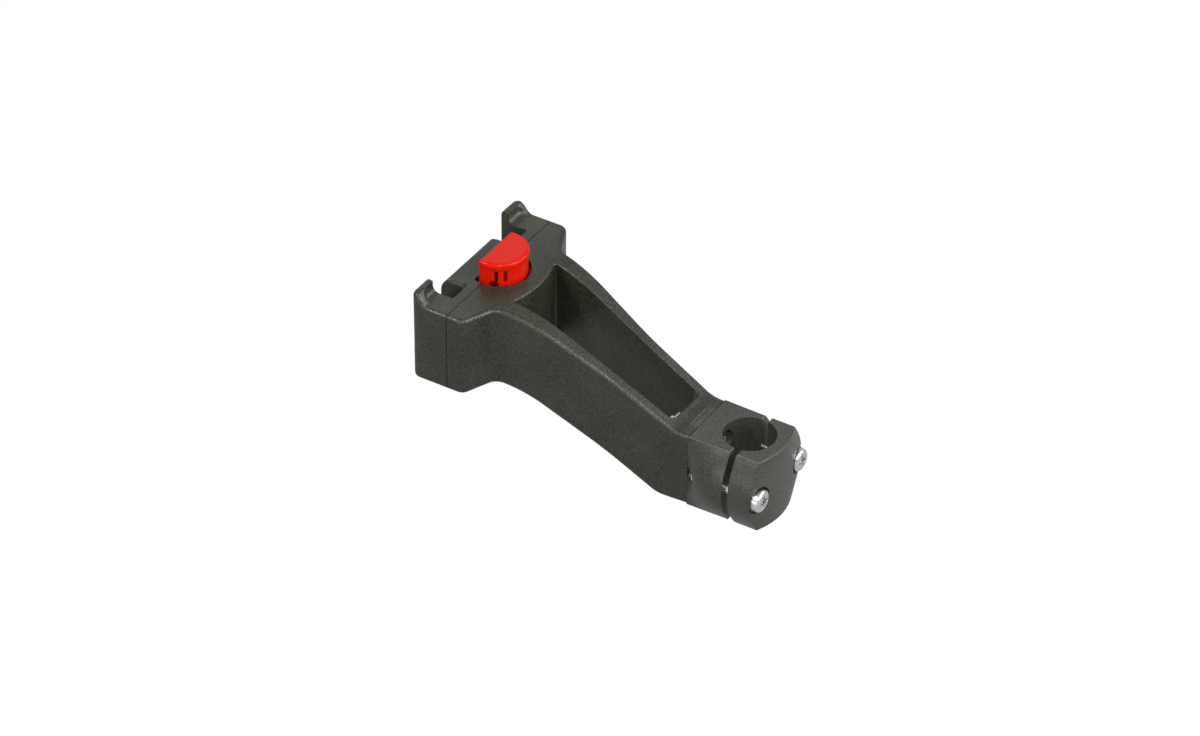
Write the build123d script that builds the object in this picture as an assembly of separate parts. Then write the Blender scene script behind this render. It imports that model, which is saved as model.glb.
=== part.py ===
from build123d import *
import math
import os

# A bicycle handlebar bag mount: a bag head with two vertical rail channels and a red release
# button, on a long hollow arm that drops to a split clamp for a round stem or steerer tube.
# Origin: the middle of the clamp bore. +X runs from the bag head towards the clamp's front,
# +Z runs up along the clamp bore, and the part is symmetric about the XZ plane. Sizes in mm.

# Clamp
tube_radius = 12.7
clamp_height = 40.0
split_gap = 3.3
split_offset = 0.8
inner_jaw_length = 22.2
seam_half_width = 16.8
jaw_half_width = 16.0
jaw_bulge = 7.9
jaw_flare_x = 7.0
jaw_flare = 5.4
jaw_end_flare = -0.4
outer_jaw_depth = 11.9
outer_jaw_crown = 4.0
jaw_edge_round = 0.8
tongue_width = 17.3
tongue_depth = 5.0
tongue_gap = 0.1

# Clamp screws, their washers and the threaded bushes moulded into the inner jaw
clamp_screw_radius = 2.95
clamp_screw_length = 34.0
clamp_screw_spacing = 36.0
clamp_head_radius = 5.6
clamp_head_height = 3.8
washer_radius = 6.2
washer_thickness = 1.0
washer_gap = 0.1
seat_depth = 4.6
seat_gap = 0.6
screw_hole_gap = 0.35
bush_radius = 4.0
bush_length = 9.0
bush_inset = 1.0
bush_sides = 12
bush_groove_width = 1.6
bush_groove_depth = 0.5
thread_gap = 0.05

# Screws that fix the inner jaw to the arm
fixing_screw_radius = 2.45
fixing_screw_length = 25.0
fixing_screw_spacing = 22.4
fixing_head_radius = 4.7
fixing_head_height = 3.2
fixing_head_clear = 1.4
fixing_hole_gap = 0.25
fixing_washer_radius = 5.0
fixing_washer_thickness = 1.0
fixing_nut_width = 8.0
fixing_nut_height = 4.0

# Arm
arm_reach = 136.6
head_rise = 62.0
top_bend_x = 26.8
top_bend_radius = 78.0
bottom_bend_x = 25.0
bottom_bend_radius = 60.0
clamp_bend_radius = 15.0
clamp_land_top = 6.4
clamp_land_bottom = 16.0
neck_half_width = 28.2
knee_x = 70.6
knee_half_width = 19.3
knee_radius = 170.0
end_wall = 11.3
hollow_length = 83.1
hollow_half_front = 18.2
hollow_middle_x = 37.4
hollow_half_middle = 14.6
hollow_half_rear = 11.8
hollow_bulge = 3.2
hollow_corner = 3.0
hollow_front_corner = 1.2
arm_edge_round = 2.2
hollow_edge_round = 1.0

# Bag head
head_width = 91.4
head_height = 42.4
head_front_depth = 19.5
head_end_depth = 8.9
head_neck_depth = 16.4
head_rear_corner = 5.0
neck_corner = 7.0
seam_groove = 0.4
head_front_corner = 4.0
middle_front_round = 8.2

# Rail channels, their front slots and the guide horns
rail_inner = 19.9
rail_width = 12.4
rail_depth = 10.5
rail_corner = 1.8
lip_thickness = 2.8
slot_width = 5.6
open_depth = 12.0
lip_slope = 4.0
lead_in = 1.5
lead_in_depth = 2.4
horn_height = 6.0
horn_wall_front = 3.8
horn_wall_side = 2.6
horn_corner = 5.0
horn_foot_round = 3.5
horn_flat = 3.6
horn_slope = 4.6
horn_crest_round = 3.0
horn_slope_blend = 4.0

# Release button and its well
button_radius = 14.4
button_flat = 2.5
button_rise = 11.6
button_rim = 3.2
button_inset = 0.6
button_wall = 2.0
button_edge_round = 1.6
button_travel = 8.0
button_gap = 0.8
button_front_gap = 2.0
button_skirt = 12.0
flange_width = 2.2
flange_thickness = 3.0
flange_gap = 0.6
deck_thickness = 4.0
stop_gap = 0.3
slot_angles = (45.0, 63.0)
slot_tab_width = 1.6
slot_tab_height = 6.0
arch_radius = 2.4
arch_angle = 68.0
slot_lift = 1.2
catch_width = 13.0
catch_proud = 2.0
catch_height = 7.5
catch_drop = 13.5
catch_ramp = 3.5
carrier_rise = 5.0
carrier_width = 15.0
carrier_gap = 1.2
window_gap = 0.9
front_wall = 3.0
well_floor = 4.0

# Button spring and its seats
spring_offset = 5.8
spring_length = 24.0
spring_radius = 4.5
spring_wire = 0.9
spring_turns = 6
spigot_radius = 3.3
spigot_height = 3.5
post_radius = 5.4
seat_rise = 0.5
spring_gap = 0.05

# Screws that fix the rail head to the arm
head_screw_radius = 1.6
head_screw_length = 16.0
head_screw_side = 8.7
head_screw_low = 10.0
head_screw_high = 31.0
head_screw_head_radius = 2.8
head_screw_head_height = 2.2
head_screw_inset = 10.0
head_screw_gap = 0.4
pilot_gap = 0.02
tip_gap = 0.5

# Proportions of every pan head screw, as shares of its sizes
head_round_share = 0.45
tip_chamfer_share = 0.25
recess_width_share = 1.05
recess_blade_share = 0.28
recess_depth_share = 0.55

# How far two shapes reach into each other where they are joined into one
overlap = 0.5

# Planes and heights worked out from the sizes above
clamp_top = clamp_height / 2
split_x = -split_offset
seam_x = split_x - inner_jaw_length
outer_x = split_x + split_gap
hollow_end_x = seam_x - end_wall
hollow_front_x = hollow_end_x - hollow_length
head_seam_x = -arm_reach
front_x = head_seam_x - head_front_depth
head_top = head_rise
head_bottom = head_top - head_height
head_half = head_width / 2
deck_bottom = head_top - deck_thickness
cover = 200.0


def block(x0, x1, y0, y1, z0, z1):
    """A box between two corners."""
    middle = ((x0 + x1) / 2, (y0 + y1) / 2, (z0 + z1) / 2)
    return Pos(*middle) * Box(abs(x1 - x0), abs(y1 - y0), abs(z1 - z0))


def rod_x(radius, x0, x1, y=0.0, z=0.0):
    """A round bar along X."""
    return Pos((x0 + x1) / 2, y, z) * Rot(0, 90, 0) * Cylinder(radius, abs(x1 - x0))


def rod_z(radius, z0, z1, x=0.0, y=0.0):
    """A round bar along Z."""
    return Pos(x, y, (z0 + z1) / 2) * Cylinder(radius, abs(z1 - z0))


def plan_prism(outline, z0, z1):
    """A face drawn in plan, raised from one height to another."""
    return extrude(Pos(0, 0, z0) * outline, z1 - z0)


def side_prism(outline, half_width):
    """A face drawn in side view, widened to both sides of the middle."""
    return extrude(outline, half_width, both=True)


def both_sides(shape):
    """A shape and its mirror image across the middle plane."""
    return shape + mirror(shape, Plane.XZ)


def meeting_edges(solid, first, second):
    """The edges where a face of one kind meets a face of another."""
    first_edges = [e for f in solid.faces() if first(f) for e in f.edges()]
    second_edges = [e for f in solid.faces() if second(f) for e in f.edges()]
    return ShapeList([e for e in first_edges if any(e.is_same(o) for o in second_edges)])


def faces_up(face):
    return face.normal_at().Z > 0.5


def faces_down(face):
    return face.normal_at().Z < -0.5


def faces_sideways(face):
    normal = face.normal_at()
    return abs(normal.Z) < 0.3 and abs(normal.Y) > 0.2


def faces_outward(face):
    """An upright face that isn't the rail head's seam."""
    return abs(face.normal_at().Z) < 0.3 and face.normal_at().X < 0.5


def cross_recess(top_x, size, depth):
    """A cross drive cut into a screw head whose top lies at top_x and faces +X."""
    blade = size * recess_blade_share
    bar = block(top_x - depth, top_x + 1, -size / 2, size / 2, -blade / 2, blade / 2)
    return bar + Rot(90, 0, 0) * bar


def pan_screw(shank_radius, length, head_radius, head_height):
    """A pan head screw along X: its seat at the origin, its head towards +X."""
    head = rod_x(head_radius, 0, head_height)
    rim = head.edges().filter_by(GeomType.CIRCLE).sort_by(Axis.X)[-1]
    head = fillet(rim, head_height * head_round_share)
    shank = rod_x(shank_radius, -length, 0)
    tip = shank.edges().filter_by(GeomType.CIRCLE).sort_by(Axis.X)[0]
    shank = chamfer(tip, shank_radius * tip_chamfer_share)
    depth = head_height * recess_depth_share
    recess = cross_recess(head_height, head_radius * recess_width_share, depth)
    return head + shank - recess


# Arm: one moulding from the rear half of the bag head to the clamp's seam, with a hollow that
# goes right through it from top to bottom.
neck_x = head_seam_x + head_neck_depth
head_end_x = head_seam_x + head_end_depth


def arm_plan():
    """The arm and the rear half of the head, seen from above."""
    half = [
        (head_seam_x, -head_half),
        (head_end_x, -head_half),
        (neck_x, -neck_half_width),
        (head_seam_x + knee_x, -knee_half_width),
        (seam_x, -seam_half_width),
    ]
    side = FilletPolyline(*half, radius=[head_rear_corner, neck_corner, knee_radius])
    far = mirror(side, Plane.XZ)
    ends = Line(side @ 0, far @ 0) + Line(side @ 1, far @ 1)
    return make_face(side + far + ends)


def arm_top_line():
    """The arm's top in side view: level, a long drop, and level again at the clamp."""
    return FilletPolyline(
        (head_seam_x, 0, head_top),
        (head_seam_x + top_bend_x, 0, head_top),
        (seam_x - clamp_land_top, 0, clamp_top),
        (seam_x, 0, clamp_top),
        radius=[top_bend_radius, clamp_bend_radius],
    )


def arm_bottom_line():
    """The arm's underside in side view: level with the head's, and nearly parallel to the top."""
    return FilletPolyline(
        (head_seam_x, 0, head_bottom),
        (head_seam_x + bottom_bend_x, 0, head_bottom),
        (seam_x - clamp_land_bottom, 0, -clamp_top),
        (seam_x, 0, -clamp_top),
        radius=[bottom_bend_radius, clamp_bend_radius],
    )


def side_face(top, bottom):
    return make_face(top + bottom + Line(top @ 0, bottom @ 0) + Line(top @ 1, bottom @ 1))


def hollow_plan():
    """The hollow's outline: its front edge curves round the button's well."""
    front_half = hollow_half_front
    rear_half = hollow_half_rear
    front = ThreePointArc(
        (hollow_front_x, -front_half),
        (hollow_front_x + hollow_bulge, 0),
        (hollow_front_x, front_half),
    )
    side = ThreePointArc(
        (hollow_front_x, front_half),
        (hollow_front_x + hollow_middle_x, hollow_half_middle),
        (hollow_end_x, rear_half),
    )
    end = Line((hollow_end_x, rear_half), (hollow_end_x, -rear_half))
    outline = make_face(front + side + mirror(side, Plane.XZ) + end)
    corners = outline.vertices().sort_by(Axis.X)
    outline = fillet(corners[2:], hollow_corner)
    corners = outline.vertices().sort_by(Axis.X)
    return fillet(corners[:2], hollow_front_corner)


def arm_blank():
    """The outside of the arm with its edges rounded, before anything is hollowed out."""
    plan = plan_prism(arm_plan(), -cover, cover)
    arm = plan & side_prism(side_face(arm_top_line(), arm_bottom_line()), head_half)
    arm = fillet(meeting_edges(arm, faces_down, faces_sideways), arm_edge_round)
    return fillet(meeting_edges(arm, faces_up, faces_sideways), arm_edge_round)


def seam_ring():
    """The shallow groove all round the head where its two halves meet."""
    groove_end_x = head_seam_x + seam_groove
    ring = block(head_seam_x - 1, groove_end_x, -cover, cover, -cover, cover)
    core = RectangleRounded(head_width - 2 * seam_groove, head_height - 2 * seam_groove, arm_edge_round)
    core = Plane.YZ.offset(head_seam_x - 2) * core
    core = Pos(0, 0, (head_top + head_bottom) / 2) * extrude(core, seam_groove + 3)
    return ring - core


def tongue(gap):
    """The key on the back of the inner jaw; the arm's recess is larger by the gap."""
    half = tongue_width / 2 + gap
    return block(seam_x - tongue_depth - gap, seam_x, -half, half, -clamp_top, clamp_top)


def fixing_heights():
    return (fixing_screw_spacing / 2, -fixing_screw_spacing / 2)


# The well that the button runs in is shared by the two halves of the head.
well_bottom = head_bottom + well_floor
flange_radius = button_radius - button_inset + flange_width
flat_x = head_seam_x - button_flat
well_front_x = flat_x - button_front_gap
carrier_front_x = front_x + front_wall + carrier_gap
catch_top = head_top - catch_drop
spring_x = head_seam_x + spring_offset


def button_well():
    """A D-shaped mouth through the deck, and a wider well below it for the flange."""
    mouth = rod_z(button_radius + button_gap, deck_bottom, cover, head_seam_x)
    well = rod_z(flange_radius + flange_gap, well_bottom, deck_bottom, head_seam_x)
    behind_flat = block(well_front_x, cover, -cover, cover, -cover, cover)
    return (mouth + well) & behind_flat


def carrier_well():
    """The space in front of the button's flat side, where its catch carrier runs."""
    half = carrier_width / 2 + carrier_gap
    return block(front_x + front_wall, head_seam_x, -half, half, well_bottom, deck_bottom)


def in_hollow(face):
    """A wall of the hollow."""
    middle = face.center()
    inside = abs(middle.Y) < hollow_half_front + 1 and hollow_front_x - 1 < middle.X < hollow_end_x + 1
    return inside and abs(face.normal_at().Z) < 0.3


def head_screw_places():
    """Where the four screws cross the head's seam."""
    side = head_half - head_screw_side
    heights = (head_bottom + head_screw_low, head_bottom + head_screw_high)
    return [(y, z) for y in (-side, side) for z in heights]


def build_arm():
    arm = arm_blank() - seam_ring()
    arm -= plan_prism(hollow_plan(), -cover, cover)
    arm = fillet(meeting_edges(arm, faces_up, in_hollow), hollow_edge_round)
    arm = fillet(meeting_edges(arm, faces_down, in_hollow), hollow_edge_round)
    arm -= button_well()
    arm -= carrier_well()
    arm -= tongue(tongue_gap)
    for z in fixing_heights():
        arm -= rod_x(fixing_screw_radius + fixing_hole_gap, hollow_end_x - 1, seam_x, 0, z)
    for y, z in head_screw_places():
        tip_x = front_x + head_screw_inset + head_screw_length
        arm -= rod_x(head_screw_radius + pilot_gap, head_seam_x, tip_x + tip_gap, y, z)
    seat_top = well_bottom + seat_rise
    arm += rod_z(post_radius, well_bottom - 1, seat_top, spring_x)
    arm += rod_z(spigot_radius, well_bottom, seat_top + spigot_height, spring_x)
    return arm


# Rail head: the front half of the bag head, with the two channels that the bag's rails drop
# into, the guide horns at its corners and the window for the button's catch.
lip_x = front_x + lip_thickness
rail_back_x = lip_x + rail_depth
rail_outer = rail_inner + rail_width
horn_end_x = front_x + horn_flat + horn_slope


def head_blank():
    """The outside of the rail head with its edges rounded; its top is as high as the horns at
    the front, and level with the arm's top behind them."""
    outline = Rectangle(head_front_depth, head_width)
    outline = Pos((front_x + head_seam_x) / 2, 0) * outline
    corners = outline.vertices().sort_by(Axis.X)[:2]
    blank = plan_prism(fillet(corners, head_front_corner), head_bottom, head_top + horn_height)
    blank -= horn_top()
    blank = fillet(meeting_edges(blank, faces_down, faces_outward), arm_edge_round)
    return fillet(meeting_edges(blank, faces_up, faces_outward), arm_edge_round)


def above_deck():
    """What is cleared away above the deck: a tray inside the two horns, whose foot sweeps up into
    their walls, and the gap between them."""
    high = head_top + 2 * horn_height
    back_x = head_seam_x + 1
    half = head_half - horn_wall_side
    tray = block(front_x + horn_wall_front, back_x, -half, half, head_top, high)
    tray = fillet(tray.edges().filter_by(Axis.Z).group_by(Axis.X)[0], horn_corner)
    foot = tray.edges().group_by(Axis.Z)[0].sort_by(Axis.X)[:-1]
    tray = fillet(foot, horn_foot_round)
    return tray + block(front_x - 1, back_x, -rail_outer, rail_outer, head_top, high)


def horn_top():
    """What is taken off above the horns: level at the front, then a slope down to the deck."""
    high = head_top + horn_height
    line = FilletPolyline(
        (front_x - 1, 0, high),
        (front_x + horn_flat, 0, high),
        (horn_end_x, 0, head_top),
        (head_seam_x + 1, 0, head_top),
        radius=[horn_crest_round, horn_slope_blend],
    )
    lid = Polyline(line @ 0, (front_x - 1, 0, cover), (head_seam_x + 1, 0, cover), line @ 1)
    return side_prism(make_face(line + lid), cover)


def rail_channel():
    """One channel, right through the head, with its mouth widened by a sloping lead-in."""
    width, depth = rail_width, rail_depth
    centre = ((lip_x + rail_back_x) / 2, -(rail_inner + rail_outer) / 2)
    outline = Pos(*centre) * RectangleRounded(depth, width, rail_corner)
    channel = plan_prism(outline, head_bottom - 1, head_top + horn_height + 1)
    wide = RectangleRounded(depth + 2 * lead_in, width + 2 * lead_in, rail_corner + lead_in)
    wide = Pos(*centre) * wide
    mouth = loft([Pos(0, 0, head_top - lead_in_depth) * outline, Pos(0, 0, head_top) * wide])
    mouth += plan_prism(wide, head_top, head_top + horn_height + 1)
    mouth -= block(-cover, lip_x, -cover, cover, -cover, cover)
    mouth -= block(-cover, cover, -cover, -rail_outer, -cover, cover)
    return channel + mouth


def rail_slot():
    """The slot from the channel to the front: as wide as the channel at the top, and below a
    slope only as wide as a rail's web, which leaves a lip at its outer side."""
    low = head_top - open_depth
    outer = rail_inner + slot_width
    outline = Polyline(
        (front_x - 1, -rail_inner, head_bottom - 1),
        (front_x - 1, -outer, head_bottom - 1),
        (front_x - 1, -outer, low - lip_slope),
        (front_x - 1, -rail_outer, low),
        (front_x - 1, -rail_outer, cover),
        (front_x - 1, -rail_inner, cover),
        close=True,
    )
    return extrude(make_face(outline), lip_thickness + rail_corner + 1, dir=(1, 0, 0))


def build_rail_head():
    head = head_blank() - above_deck()
    round_x = front_x + middle_front_round
    round_z = head_top - middle_front_round
    head -= block(front_x - 1, round_x, -rail_inner, rail_inner, round_z, cover)
    head += Pos(round_x, 0, round_z) * Rot(90, 0, 0) * Cylinder(middle_front_round, 2 * rail_inner)
    head -= both_sides(rail_channel())
    head -= both_sides(rail_slot())
    head -= button_well()
    head -= carrier_well()
    half = catch_width / 2 + window_gap
    window_top = catch_top + window_gap
    window_low = catch_top - catch_height - button_travel - window_gap
    head -= block(front_x - 1, front_x + front_wall + 1, -half, half, window_low, window_top)
    for y, z in head_screw_places():
        seat_x = front_x + head_screw_inset
        head -= rod_x(head_screw_radius + head_screw_gap, seat_x, head_seam_x, y, z)
        head -= rod_x(head_screw_head_radius + head_screw_gap, front_x - 1, seat_x, y, z)
    return head


# Release button: a D-shaped cap on a hollow skirt, held under the deck by its flange, with the
# catch on its flat side reaching through the head's window.
cap_top = head_top + button_rise
cap_bottom = cap_top - button_rim
skirt_radius = button_radius - button_inset
skirt_bottom = deck_bottom - button_skirt
flange_top = deck_bottom - stop_gap
spring_top = well_bottom + seat_rise + spring_length


def d_prism(radius, flat, z0, z1):
    """A round bar with its front cut flat."""
    return rod_z(radius, z0, z1, head_seam_x) & block(head_seam_x - flat, cover, -cover, cover, z0, z1)


def at_angle(angle, shape):
    """A shape drawn along +X from the button's axis, turned to an angle about it."""
    return Pos(head_seam_x, 0, 0) * Rot(0, 0, angle) * shape


def build_button():
    cap = d_prism(button_radius, button_flat, cap_bottom, cap_top)
    cap = fillet(cap.edges().group_by(Axis.Z)[-1], button_edge_round)
    skirt = d_prism(skirt_radius, button_flat, skirt_bottom, cap_bottom)
    flange = d_prism(flange_radius, button_flat, flange_top - flange_thickness, flange_top)
    button = cap + skirt + flange
    button -= d_prism(skirt_radius - button_wall, button_flat - button_wall, skirt_bottom - 1, cap_bottom)
    slot_low = head_top + slot_lift
    slot = block(0, button_radius, -slot_tab_width / 2, slot_tab_width / 2, slot_low,
                 slot_low + slot_tab_height)
    arch = rod_x(arch_radius, 0, button_radius, 0, head_top - arch_radius / 4)
    inner = rod_z(skirt_radius - button_wall, skirt_bottom, cap_top, 0)
    for side in (-1, 1):
        for angle in slot_angles:
            button -= at_angle(side * angle, slot - inner)
        button -= at_angle(side * arch_angle, arch - inner)
    button += rod_z(post_radius, spring_top, cap_bottom + overlap, spring_x)
    button += rod_z(spigot_radius, spring_top - spigot_height, spring_top + overlap, spring_x)
    half = carrier_width / 2
    carrier_bottom = catch_top - catch_height
    button += block(carrier_front_x, flat_x + button_wall, -half, half, carrier_bottom,
                    catch_top + carrier_rise)
    nose_x = front_x - catch_proud
    nose = Polyline(
        (carrier_front_x + overlap, 0, catch_top),
        (front_x, 0, catch_top),
        (nose_x, 0, catch_top - catch_ramp),
        (nose_x, 0, carrier_bottom),
        (carrier_front_x + overlap, 0, carrier_bottom),
        close=True,
    )
    return button + side_prism(make_face(nose), catch_width / 2)


def build_spring():
    """A compression spring between the seat in the well and the button's post."""
    low = well_bottom + seat_rise + spring_gap + spring_wire / 2
    rise = spring_length - spring_wire - 2 * spring_gap
    path = Pos(spring_x, 0, low) * Helix(rise / spring_turns, rise, spring_radius)
    section = Plane(origin=path @ 0, z_dir=path % 0) * Circle(spring_wire / 2)
    return sweep(section, path, is_frenet=True)


# Clamp: the inner jaw is keyed and screwed to the arm, and the outer jaw closes on the tube.
screw_y = clamp_screw_spacing / 2
crown_x = outer_x + outer_jaw_depth + outer_jaw_crown
seat_x = crown_x - seat_depth
clamp_seat_x = seat_x + washer_thickness
fixing_seat_x = -(tube_radius + fixing_head_clear + fixing_head_height)
bush_end_x = split_x - bush_inset
middle_half_width = jaw_half_width + jaw_bulge


def inner_jaw_section(half, flare, z):
    """The inner jaw in plan at one height: it flares from the arm's width to the jaw's."""
    near = ThreePointArc(
        (seam_x, -seam_half_width, z),
        (seam_x + jaw_flare_x, -seam_half_width - flare, z),
        (split_x, -half, z),
    )
    far = mirror(near, Plane.XZ)
    return make_face(near + far + Line(near @ 0, far @ 0) + Line(near @ 1, far @ 1))


def outer_jaw_section(half, z):
    """The outer jaw in plan at one height, with a crowned front."""
    corner_x = outer_x + outer_jaw_depth
    crown = ThreePointArc((corner_x, -half, z), (crown_x, 0, z), (corner_x, half, z))
    back = Polyline(crown @ 1, (outer_x, half, z), (outer_x, -half, z), crown @ 0)
    return make_face(crown + back)


def jaw_loft(section):
    return loft([section(-clamp_top), section(0), section(clamp_top)])


def faces_level(face):
    """A jaw's flat top or underside."""
    return abs(face.normal_at().Z) > 0.95


def jaw_wall(face):
    """A jaw's outside wall, without its flat faces at the seam and the split."""
    return face.geom_type != GeomType.PLANE


def clamp_screw_places():
    return {"left": -screw_y, "right": screw_y}


def build_bush(y):
    """A many-sided threaded bush with a groove round its middle, so that it can't pull out."""
    prism = extrude(Plane.YZ.offset(bush_end_x) * RegularPolygon(bush_radius, bush_sides), -bush_length)
    middle_x = bush_end_x - bush_length / 2
    width = bush_groove_width / 2
    ring = rod_x(bush_radius + 1, middle_x - width, middle_x + width)
    ring -= rod_x(bush_radius - bush_groove_depth, middle_x - width, middle_x + width)
    return Pos(0, y, 0) * (prism - ring)


def build_inner_jaw():
    def section(z):
        if z == 0:
            return inner_jaw_section(middle_half_width, jaw_flare, z)
        return inner_jaw_section(jaw_half_width, jaw_end_flare, z)

    jaw = jaw_loft(section)
    jaw = fillet(meeting_edges(jaw, faces_level, jaw_wall), jaw_edge_round)
    jaw += tongue(0)
    jaw -= rod_z(tube_radius, -cover, cover)
    for y in clamp_screw_places().values():
        jaw -= rod_x(clamp_screw_radius + screw_hole_gap, seam_x - 1, split_x + 1, y)
        jaw -= build_bush(y)
    for z in fixing_heights():
        jaw -= rod_x(fixing_screw_radius + fixing_hole_gap, seam_x - tongue_depth - 1, 0, 0, z)
        jaw -= rod_x(fixing_head_radius + 2 * fixing_hole_gap, fixing_seat_x, 0, 0, z)
    return jaw


def build_outer_jaw():
    def section(z):
        return outer_jaw_section(middle_half_width if z == 0 else jaw_half_width, z)

    jaw = jaw_loft(section)
    jaw = fillet(meeting_edges(jaw, faces_level, jaw_wall), jaw_edge_round)
    jaw -= rod_z(tube_radius, -cover, cover)
    for y in clamp_screw_places().values():
        jaw -= rod_x(clamp_screw_radius + screw_hole_gap, outer_x - 1, crown_x, y)
        jaw -= rod_x(washer_radius + seat_gap, seat_x, crown_x + 1, y)
    return jaw


def build_washer(x, radius, thickness, hole, y, z):
    return rod_x(radius, x, x + thickness, y, z) - rod_x(hole, x - 1, x + thickness + 1, y, z)


def build_fixing_nut(z):
    outer_x = hollow_end_x - fixing_washer_thickness
    prism = extrude(
        Plane.YZ.offset(outer_x) * RegularPolygon(fixing_nut_width / 2, 6, major_radius=False),
        -fixing_nut_height,
    )
    bore = rod_x(fixing_screw_radius + pilot_gap, outer_x - fixing_nut_height - 1, outer_x + 1)
    return Pos(0, 0, z) * (prism - bore)


# Every piece by its node's name
pieces = {
    "arm_body": build_arm(),
    "rail_head": build_rail_head(),
    "release_button": build_button(),
    "button_spring": build_spring(),
    "clamp_inner_jaw": build_inner_jaw(),
    "clamp_outer_jaw": build_outer_jaw(),
}
head_screw = pan_screw(head_screw_radius, head_screw_length, head_screw_head_radius, head_screw_head_height)
for number, (y, z) in enumerate(head_screw_places(), 1):
    pieces[f"head_screw_{number}"] = Pos(front_x + head_screw_inset, y, z) * Rot(0, 0, 180) * head_screw

clamp_screw = pan_screw(clamp_screw_radius, clamp_screw_length, clamp_head_radius, clamp_head_height)
for side, y in clamp_screw_places().items():
    pieces[f"clamp_screw_{side}"] = Pos(clamp_seat_x, y, 0) * clamp_screw
    pieces[f"clamp_washer_{side}"] = build_washer(
        seat_x, washer_radius, washer_thickness, clamp_screw_radius + washer_gap, y, 0)
    bush = build_bush(y) - rod_x(clamp_screw_radius + thread_gap, -cover, cover, y)
    pieces[f"threaded_bush_{side}"] = bush

fixing_screw = pan_screw(fixing_screw_radius, fixing_screw_length, fixing_head_radius, fixing_head_height)
for level, z in zip(("upper", "lower"), fixing_heights()):
    pieces[f"fixing_screw_{level}"] = Pos(fixing_seat_x, 0, z) * fixing_screw
    washer_x = hollow_end_x - fixing_washer_thickness
    pieces[f"fixing_washer_{level}"] = build_washer(
        washer_x, fixing_washer_radius, fixing_washer_thickness, fixing_screw_radius + washer_gap, 0, z)
    pieces[f"fixing_nut_{level}"] = build_fixing_nut(z)

os.makedirs("parts", exist_ok=True)
for name, piece in pieces.items():
    export_step(piece, f"parts/{name}.step")
    print(name, round(piece.volume), "solids", len(piece.solids()), "valid", piece.is_valid)
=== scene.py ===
import math

import bmesh
import bpy
from mathutils import Matrix, Vector


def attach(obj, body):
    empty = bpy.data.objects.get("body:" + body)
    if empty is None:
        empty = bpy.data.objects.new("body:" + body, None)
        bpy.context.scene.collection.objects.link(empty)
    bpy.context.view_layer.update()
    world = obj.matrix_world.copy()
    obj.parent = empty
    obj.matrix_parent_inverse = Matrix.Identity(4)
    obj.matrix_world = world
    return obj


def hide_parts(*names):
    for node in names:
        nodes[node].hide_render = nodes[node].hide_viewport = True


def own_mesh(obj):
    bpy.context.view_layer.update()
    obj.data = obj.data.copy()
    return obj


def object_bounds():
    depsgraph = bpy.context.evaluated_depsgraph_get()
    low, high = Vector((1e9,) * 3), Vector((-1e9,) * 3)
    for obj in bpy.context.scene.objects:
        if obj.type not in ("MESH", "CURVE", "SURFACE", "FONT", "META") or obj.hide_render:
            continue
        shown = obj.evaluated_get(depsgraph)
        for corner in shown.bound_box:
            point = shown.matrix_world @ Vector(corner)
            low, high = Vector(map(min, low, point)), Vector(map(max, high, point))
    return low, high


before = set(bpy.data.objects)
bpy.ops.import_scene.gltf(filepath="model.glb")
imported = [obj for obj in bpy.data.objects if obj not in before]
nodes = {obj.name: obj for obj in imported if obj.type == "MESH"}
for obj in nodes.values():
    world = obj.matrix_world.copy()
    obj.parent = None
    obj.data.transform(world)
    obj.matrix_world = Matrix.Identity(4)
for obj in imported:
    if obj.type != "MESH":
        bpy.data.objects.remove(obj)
cad_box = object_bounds()

# Arm and rail head. Two mouldings in black glass-filled nylon, joined by four screws driven in
# from the front. Their moulds were spark-eroded, which leaves a fine matt grain on every face,
# and the glass just under the skin shows as a pale speckle.
mm = 0.001
moulding_dark = (0.0010, 0.0012, 0.0003, 1)
moulding_light = (0.044, 0.0465, 0.030, 1)
moulding_roughness = (0.28, 0.42)
moulding_grain = 0.9
speckle_size = 0.9 * mm
flow_size = 24 * mm
flow_share = 0.3
mottle_size = 1.3 * mm
grain_size = 0.8 * mm
grain_depth = 0.2 * mm
edge_softness = 0.35 * mm
edge_samples = 4
plain_detail = 2.0
flow_detail = 3.0
fine_detail = 4.0
noise_low = 0.3
noise_high = 0.7


def new_material(name):
    """A node material with its Principled shader at hand."""
    material = bpy.data.materials.new(name)
    material.use_nodes = True
    shader = material.node_tree.nodes["Principled BSDF"]
    return material, material.node_tree, shader


def object_noise(tree, size, detail):
    """Noise whose lumps are about so large, fixed to the piece's own coordinates."""
    place = tree.nodes.new("ShaderNodeTexCoord")
    noise = tree.nodes.new("ShaderNodeTexNoise")
    noise.inputs["Scale"].default_value = 1 / size
    noise.inputs["Detail"].default_value = detail
    tree.links.new(place.outputs["Object"], noise.inputs["Vector"])
    return noise.outputs["Fac"]


def colour_between(tree, factor, first, second):
    """A colour that runs from the first to the second over the noise's usual range."""
    ramp = tree.nodes.new("ShaderNodeValToRGB")
    ramp.color_ramp.elements[0].position = noise_low
    ramp.color_ramp.elements[0].color = first
    ramp.color_ramp.elements[1].position = noise_high
    ramp.color_ramp.elements[1].color = second
    tree.links.new(factor, ramp.inputs["Fac"])
    return ramp.outputs["Color"]


def number_between(tree, factor, first, second):
    """A number that runs from the first to the second over the noise's usual range."""
    span = tree.nodes.new("ShaderNodeMapRange")
    span.inputs["From Min"].default_value = noise_low
    span.inputs["From Max"].default_value = noise_high
    span.inputs["To Min"].default_value = first
    span.inputs["To Max"].default_value = second
    tree.links.new(factor, span.inputs["Value"])
    return span.outputs["Result"]


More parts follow.
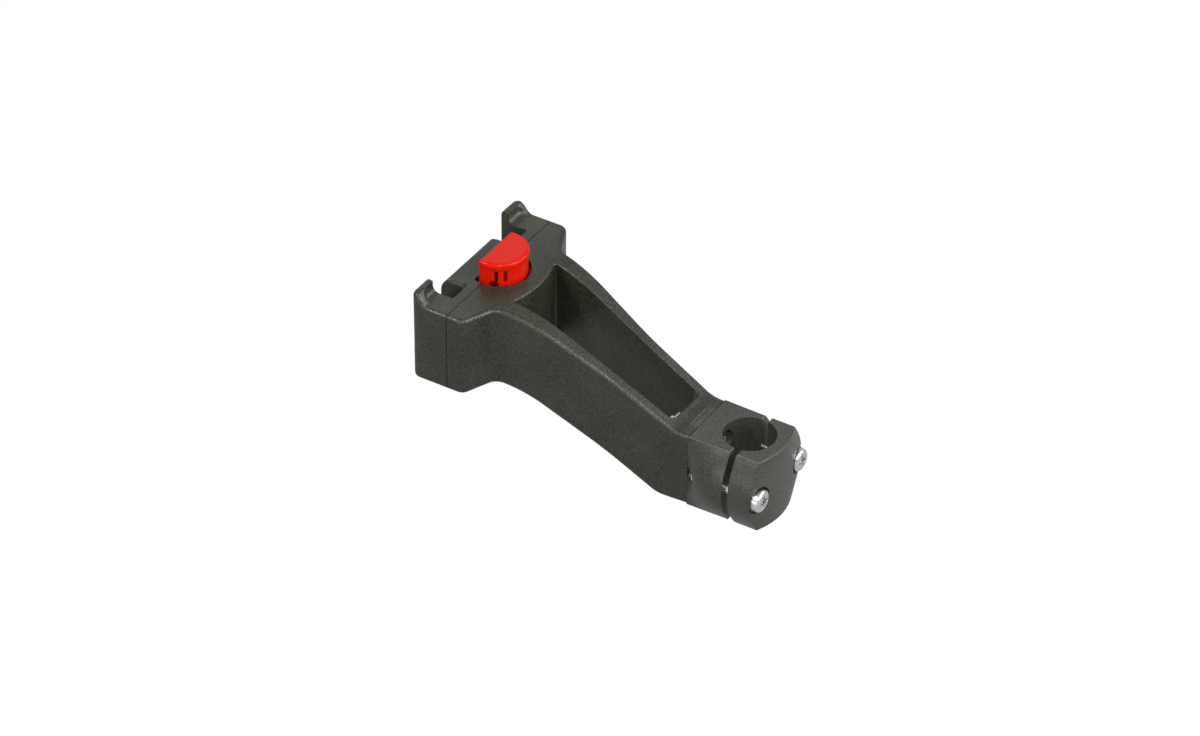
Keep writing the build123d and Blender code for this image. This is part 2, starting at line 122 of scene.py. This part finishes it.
def soft_grain(tree, shader, height, depth, strength, softness):
    """A fine bump over edges that are rounded off by a hair's breadth."""
    edge = tree.nodes.new("ShaderNodeBevel")
    edge.samples = edge_samples
    edge.inputs["Radius"].default_value = softness
    bump = tree.nodes.new("ShaderNodeBump")
    bump.inputs["Strength"].default_value = strength
    bump.inputs["Distance"].default_value = depth
    tree.links.new(edge.outputs["Normal"], bump.inputs["Normal"])
    tree.links.new(height, bump.inputs["Height"])
    tree.links.new(bump.outputs["Normal"], shader.inputs["Normal"])


def moulded_plastic(name, dark, light, roughness, grain_strength, specular=0.5):
    """Moulded plastic: a speckle over slow changes of colour, a mottled sheen and a fine grain."""
    material, tree, shader = new_material(name)
    shader.inputs["Specular IOR Level"].default_value = specular
    speckle = tree.nodes.new("ShaderNodeMix")
    speckle.inputs["Factor"].default_value = flow_share
    tree.links.new(object_noise(tree, speckle_size, plain_detail), speckle.inputs["A"])
    tree.links.new(object_noise(tree, flow_size, flow_detail), speckle.inputs["B"])
    colour = colour_between(tree, speckle.outputs["Result"], dark, light)
    tree.links.new(colour, shader.inputs["Base Color"])
    mottle = object_noise(tree, mottle_size, fine_detail)
    tree.links.new(number_between(tree, mottle, *roughness), shader.inputs["Roughness"])
    grain = object_noise(tree, grain_size, plain_detail)
    soft_grain(tree, shader, grain, grain_depth, grain_strength, edge_softness)
    return material


def dress(names, material):
    """Gives CAD nodes their finish."""
    for name in names:
        nodes[name].data.materials.clear()
        nodes[name].data.materials.append(material)


arm_plastic = moulded_plastic(
    "arm_moulding", moulding_dark, moulding_light, moulding_roughness, moulding_grain)
dress(["arm_body", "rail_head"], arm_plastic)

# Clamp jaws. Two mouldings in the same nylon, one keyed and screwed to the arm's end and one
# drawn towards it by the clamp screws. Their mould had a smoother finish, so their roughness is
# lower. Their base colours are painted lighter than the arm's: painted light that brightens the
# outer jaw's crowned front.
# Painted light: both jaw colours are set lighter than the arm's nylon to brighten the jaws.
jaw_dark_painted_lit = (0.010, 0.0105, 0.008, 1)
jaw_light_painted_lit = (0.066, 0.068, 0.055, 1)
jaw_roughness = (0.30, 0.38)
jaw_grain = 0.3
jaw_plastic = moulded_plastic("jaw_moulding", jaw_dark_painted_lit, jaw_light_painted_lit, jaw_roughness, jaw_grain)
dress(["clamp_inner_jaw", "clamp_outer_jaw"], jaw_plastic)

# Release button. A hollow moulding in red acetal that slides in the head's well, with its
# catch in one with it. It is smoother than the arm, and its colour is even.
button_dark = (0.54, 0.007, 0.001, 1)
button_light = (0.62, 0.010, 0.001, 1)
button_roughness = (0.20, 0.26)
button_grain = 0.12
button_specular = 0.15
button_plastic = moulded_plastic(
    "button_moulding", button_dark, button_light, button_roughness, button_grain, button_specular)
dress(["release_button"], button_plastic)

# Button spring. A coil of bright drawn wire between the well's floor and the button's post,
# hidden by the button. The real spring shortens as the button goes down. Here a copy of it, with
# its doubled points welded, stands in for it on the mount body, and the original is hidden.
wire_dark = (0.42, 0.42, 0.43, 1)
wire_light = (0.60, 0.60, 0.61, 1)
wire_roughness = (0.28, 0.4)
draw_size = 0.9 * mm
draw_depth = 0.01 * mm
metal_grain = 0.3
metal_softness = 0.12 * mm
weld_gap = 0.001 * mm


def plated_metal(name, dark, light, roughness, mark_size, mark_depth):
    """Metal with faint marks from its making, under a plating of uneven sheen."""
    material, tree, shader = new_material(name)
    shader.inputs["Metallic"].default_value = 1.0
    marks = object_noise(tree, mark_size, fine_detail)
    tree.links.new(colour_between(tree, marks, dark, light), shader.inputs["Base Color"])
    tree.links.new(number_between(tree, marks, *roughness), shader.inputs["Roughness"])
    soft_grain(tree, shader, marks, mark_depth, metal_grain, metal_softness)
    return material


spring_wire = plated_metal(
    "spring_wire", wire_dark, wire_light, wire_roughness, draw_size, draw_depth)
coil_mesh = nodes["button_spring"].data.copy()
coil = bmesh.new()
coil.from_mesh(coil_mesh)
bmesh.ops.remove_doubles(coil, verts=coil.verts, dist=weld_gap)
coil.to_mesh(coil_mesh)
coil.free()
coil_mesh.materials.clear()
coil_mesh.materials.append(spring_wire)
scene = bpy.context.scene
spring_coil = bpy.data.objects.new("spring_coil", coil_mesh)
scene.collection.objects.link(spring_coil)
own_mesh(spring_coil)
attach(spring_coil, "mount_body")
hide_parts("button_spring")

# Clamp and fixing screws. Pan head screws in bright zinc-plated steel: two close the clamp,
# and two hold the inner jaw to the arm, each with a washer and a nut in the arm's hollow.
zinc_dark = (0.62, 0.63, 0.64, 1)
zinc_light = (0.86, 0.87, 0.88, 1)
zinc_roughness = (0.2, 0.34)
zinc_size = 1.6 * mm
zinc_depth = 0.02 * mm
zinc_plate = plated_metal(
    "zinc_plate", zinc_dark, zinc_light, zinc_roughness, zinc_size, zinc_depth)
zinc_nodes = ["clamp_screw_left", "clamp_screw_right"]
for level in ("upper", "lower"):
    zinc_nodes += [f"fixing_screw_{level}", f"fixing_washer_{level}", f"fixing_nut_{level}"]
dress(zinc_nodes, zinc_plate)

# Clamp washers and head screws. Black-coated steel: the washers lie under the clamp screws'
# heads, and the four screws hold the rail head to the arm.
coat_dark = (0.018, 0.018, 0.018, 1)
coat_light = (0.045, 0.045, 0.045, 1)
coat_roughness = (0.34, 0.5)
coat_size = 1.2 * mm
coat_depth = 0.02 * mm
black_coat, coat_tree, coat_shader = new_material("black_coat")
coat_marks = object_noise(coat_tree, coat_size, fine_detail)
coat_colour = colour_between(coat_tree, coat_marks, coat_dark, coat_light)
coat_sheen = number_between(coat_tree, coat_marks, *coat_roughness)
coat_tree.links.new(coat_colour, coat_shader.inputs["Base Color"])
coat_tree.links.new(coat_sheen, coat_shader.inputs["Roughness"])
soft_grain(coat_tree, coat_shader, coat_marks, coat_depth, metal_grain, metal_softness)
coated_nodes = [f"head_screw_{number}" for number in range(1, 5)]
dress(coated_nodes + ["clamp_washer_left", "clamp_washer_right"], black_coat)

# Threaded bushes. Two bushes turned from brass bar, set in the inner jaw as it is moulded,
# which take the clamp screws' threads.
brass_dark = (0.58, 0.42, 0.17, 1)
brass_light = (0.76, 0.58, 0.27, 1)
brass_roughness = (0.26, 0.38)
turning_size = 0.8 * mm
turning_depth = 0.01 * mm
turned_brass = plated_metal(
    "turned_brass", brass_dark, brass_light, brass_roughness, turning_size, turning_depth)
dress(["threaded_bush_left", "threaded_bush_right"], turned_brass)

# Floor. A wide pale sweep below the object, which keeps its soft shadow. The camera sees it
# nearly white, and the plastic mirrors it at a lower level.
floor_drop = 0.04
floor_half = 6.0
floor_grey = (0.28, 0.28, 0.28, 1)
floor_roughness = 0.9
floor_white = 1.05
floor_lit = 0.0
floor_reflected = 0.22
floor_seen = 0.94


def seen_level(tree, lit, reflected, seen):
    """One number for the rays that light the object, one for reflections and one for the view."""
    path = tree.nodes.new("ShaderNodeLightPath")
    mirrored = tree.nodes.new("ShaderNodeMapRange")
    mirrored.inputs["To Min"].default_value = lit
    mirrored.inputs["To Max"].default_value = reflected
    viewed = tree.nodes.new("ShaderNodeMix")
    viewed.inputs["B"].default_value = seen
    tree.links.new(path.outputs["Is Glossy Ray"], mirrored.inputs["Value"])
    tree.links.new(path.outputs["Is Camera Ray"], viewed.inputs["Factor"])
    tree.links.new(mirrored.outputs["Result"], viewed.inputs["A"])
    return viewed.outputs["Result"]


floor_place = (0, 0, cad_box[0].z - floor_drop)
bpy.ops.mesh.primitive_plane_add(size=2 * floor_half, location=floor_place)
floor = bpy.context.active_object
floor.name = "floor"
floor_paint, floor_tree, floor_shader = new_material("floor_paint")
floor_shader.inputs["Base Color"].default_value = floor_grey
floor_shader.inputs["Roughness"].default_value = floor_roughness
floor_glow = floor_tree.nodes.new("ShaderNodeEmission")
floor_glow.inputs["Color"].default_value = (1, 1, 1, 1)
floor_glow.inputs["Strength"].default_value = floor_white
floor_mix = floor_tree.nodes.new("ShaderNodeMixShader")
floor_share = seen_level(floor_tree, floor_lit, floor_reflected, floor_seen)
floor_surface = floor_tree.nodes["Material Output"].inputs["Surface"]
floor_tree.links.new(floor_share, floor_mix.inputs["Fac"])
floor_tree.links.new(floor_shader.outputs["BSDF"], floor_mix.inputs[1])
floor_tree.links.new(floor_glow.outputs["Emission"], floor_mix.inputs[2])
floor_tree.links.new(floor_mix.outputs["Shader"], floor_surface)
floor.data.materials.append(floor_paint)

# Room. An even white surround: white to the camera, half as bright in reflections, and low
# as a light, so that the lamps model the object.
room_lit = 0.12
room_reflected = 0.5
room_seen = 1.0
world = bpy.data.worlds.new("room")
scene.world = world
world.use_nodes = True
sky_tree = world.node_tree
sky = sky_tree.nodes["Background"]
sky.inputs["Color"].default_value = (1, 1, 1, 1)
sky_level = seen_level(sky_tree, room_lit, room_reflected, room_seen)
sky_tree.links.new(sky_level, sky.inputs["Strength"])

# Lamps. Wide soft boxes behind, beside and before the object fill the deck, the far rim and the
# jaws. Two small ones stand where the rounded edges mirror them, and draw the bright lines
# along the arm and the head.
target = Vector((-0.08095, 0.0, 0.02546))
lamp_distance = 0.9


def soft_box(name, azimuth, elevation, width, height, power):
    """A flat lamp that faces the object from a direction given in degrees."""
    turn, rise = math.radians(azimuth), math.radians(elevation)
    level = Vector((math.sin(turn), -math.cos(turn), 0))
    back = level * math.cos(rise) + Vector((0, 0, math.sin(rise)))
    lamp = bpy.data.lights.new(name, "AREA")
    lamp.shape = "RECTANGLE"
    lamp.size = width
    lamp.size_y = height
    lamp.energy = power
    holder = bpy.data.objects.new(name, lamp)
    holder.location = target + back * lamp_distance
    holder.rotation_mode = "QUATERNION"
    holder.rotation_quaternion = back.to_track_quat("Z", "Y")
    scene.collection.objects.link(holder)


soft_box("rear_box", 135, 30, 0.3, 0.3, 2.4)
soft_box("back_box", -135, 42, 0.5, 0.4, 0.5)
soft_box("side_box", 90, 34, 0.5, 0.6, 7.0)
soft_box("front_box", 0, 4, 0.5, 0.3, 1.2)
soft_box("edge_box_left", -35, 43, 0.16, 0.16, 3.8)
soft_box("edge_box_right", 32, 38, 0.14, 0.14, 2.8)

# Camera. A long lens that looks down on the arm from beside the clamp.
camera_azimuth = math.radians(31.27)
camera_elevation = math.radians(36.98)
camera_roll = math.radians(0.61)
camera_distance = 2.1052
camera_lens = 135.345
sensor_width = 36.0
near_clip = 0.1
far_clip = 50.0
level_ahead = Vector((-math.sin(camera_azimuth), math.cos(camera_azimuth), 0))
level_right = Vector((math.cos(camera_azimuth), math.sin(camera_azimuth), 0))
ahead = level_ahead * math.cos(camera_elevation) - Vector((0, 0, math.sin(camera_elevation)))
level_up = level_right.cross(ahead)
right = math.cos(camera_roll) * level_right + math.sin(camera_roll) * level_up
up = -math.sin(camera_roll) * level_right + math.cos(camera_roll) * level_up
lens = bpy.data.cameras.new("camera")
lens.sensor_width = sensor_width
lens.lens = camera_lens
lens.clip_start = near_clip
lens.clip_end = far_clip
camera = bpy.data.objects.new("camera", lens)
scene.collection.objects.link(camera)
camera_turn = Matrix((right, up, -ahead)).transposed().to_4x4()
camera.matrix_world = Matrix.Translation(target - ahead * camera_distance) @ camera_turn
scene.camera = camera
scene.view_settings.view_transform = "Standard"
